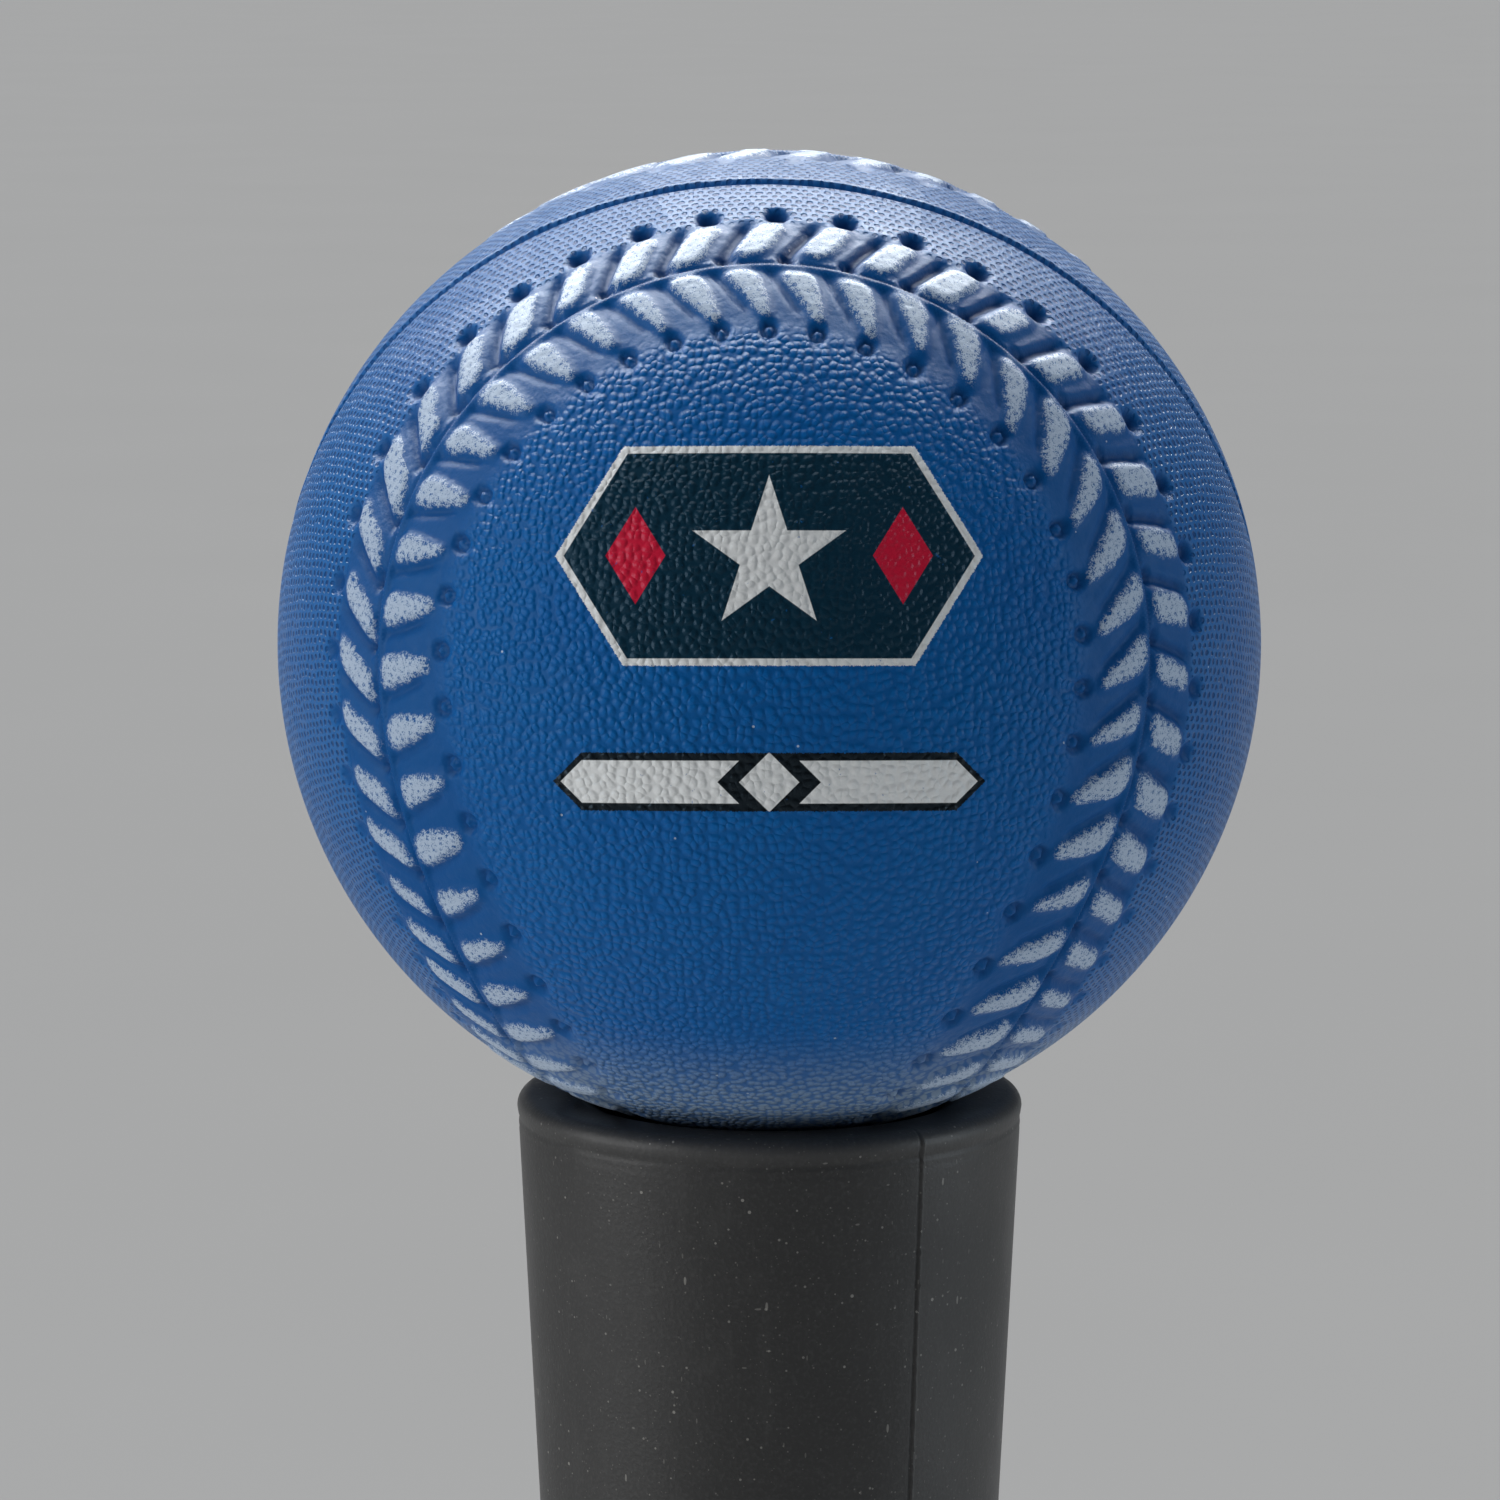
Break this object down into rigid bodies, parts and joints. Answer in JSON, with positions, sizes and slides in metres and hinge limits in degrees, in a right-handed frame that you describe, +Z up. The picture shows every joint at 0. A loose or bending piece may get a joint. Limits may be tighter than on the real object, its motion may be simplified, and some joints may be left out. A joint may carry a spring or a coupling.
{
  "type": "batting tee",
  "caption": "Batting tee: home-plate rubber base, telescopic post with a flip-lock clamp, flexible rubber top and a seamed foam ball resting on it.",
  "frame": {"origin": "on the floor under the middle of the post, which is the middle of the home-plate base", "axes": "+Z up along the post; the home plate's point faces -Y, its straight edge +Y; the clamp's ears face +X"},
  "size_m": [0.34, 0.34, 0.6531],
  "materials": {
    "base_rubber": "dull moulded black rubber",
    "panel_plastic": "matte grained white plastic",
    "moulded_plastic": "satin moulded black nylon",
    "lever_plastic": "satin moulded blue nylon",
    "fastener_steel": "zinc-plated steel",
    "tube_paint": "black powder coat, fine grain",
    "tube_steel": "drawn bright steel tube",
    "top_rubber": "satin charcoal rubber",
    "ball_foam": "pebbled moulded skin on soft foam"
  },
  "bodies": {
    "base": {"base_plate": "base_rubber", "plate_panel": "panel_plastic", "pole_socket": "moulded_plastic", "base_bolt_1": "fastener_steel", "base_bolt_2": "fastener_steel", "base_bolt_3": "fastener_steel", "base_bolt_4": "fastener_steel", "base_washer_1": "fastener_steel", "base_washer_2": "fastener_steel", "base_washer_3": "fastener_steel", "base_washer_4": "fastener_steel", "base_nut_1": "fastener_steel", "base_nut_2": "fastener_steel", "base_nut_3": "fastener_steel", "base_nut_4": "fastener_steel", "socket_screw": "fastener_steel", "lower_tube": "tube_paint", "collar_liner": "moulded_plastic", "clamp_body": "moulded_plastic", "collar_screw": "fastener_steel", "clamp_bolt": "fastener_steel", "clamp_nut": "fastener_steel", "clamp_saddle": "fastener_steel", "lever_pin": "fastener_steel"},
    "lever": {"clamp_lever": "lever_plastic"},
    "mast": {"upper_tube": "tube_steel", "guide_bush": "moulded_plastic", "tube_cap": "moulded_plastic", "rubber_top_sleeve": "top_rubber", "rubber_top_neck": "top_rubber"},
    "top_cup": {"rubber_top_cup": "top_rubber"},
    "ball": {"ball": "ball_foam"}
  },
  "joints": [
    {"name": "mast_slide", "type": "slide", "parent": "base", "child": "mast", "axis": [0, 0, 1], "range_m": [0, 0.3]},
    {"name": "lever_hinge", "type": "hinge", "parent": "base", "child": "lever", "pos_m": [0.0255, -0.0154, 0.444], "axis": [0, 0, 1], "range_deg": [0, 120]},
    {"name": "top_flex", "type": "hinge", "parent": "mast", "child": "top_cup", "pos_m": [0, 0, 0.526], "axis": [1, 0, 0], "range_deg": [-30, 30], "stiffness_Nm_per_rad": 2.5, "deforming": ["rubber_top_neck"]},
    {"name": "ball_lift", "type": "slide", "parent": "top_cup", "child": "ball", "axis": [0, 0, 1], "range_m": [0, 0.12]}
  ]
}
